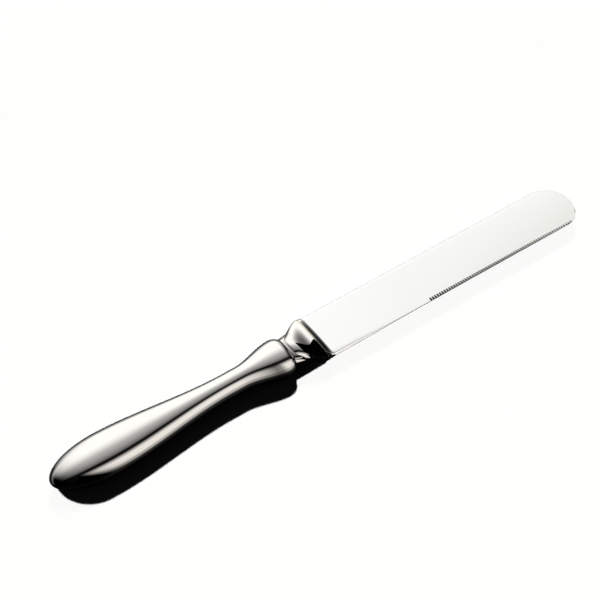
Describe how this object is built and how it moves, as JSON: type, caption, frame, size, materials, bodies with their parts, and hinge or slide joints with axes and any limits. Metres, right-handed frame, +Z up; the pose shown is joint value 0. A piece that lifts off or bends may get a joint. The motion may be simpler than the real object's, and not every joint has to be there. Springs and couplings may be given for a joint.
{
  "type": "table knife",
  "caption": "Table knife in polished stainless steel: hollow swelling handle with a fan-shaped bolster and a straight blade with a rounded tip and a finely toothed edge.",
  "frame": {"origin": "middle of the knife's box in plan, on the surface it lies on", "axes": "+X along the knife to the blade's tip, +Y across the blade to its spine, +Z up out of the surface it lies on"},
  "size_m": [0.2402, 0.0222, 0.0118],
  "materials": {
    "polished_blade_steel": "stainless steel, finely polished",
    "polished_handle_steel": "stainless steel, mirror polished",
    "brazing_alloy": "silver brazing alloy as melted",
    "handle_cement": "matt cast handle cement"
  },
  "bodies": {
    "root": {"blade": "polished_blade_steel", "handle_shell_upper": "polished_handle_steel", "handle_shell_lower": "polished_handle_steel", "seam_braze": "brazing_alloy", "handle_filler": "handle_cement"}
  },
  "joints": []
}
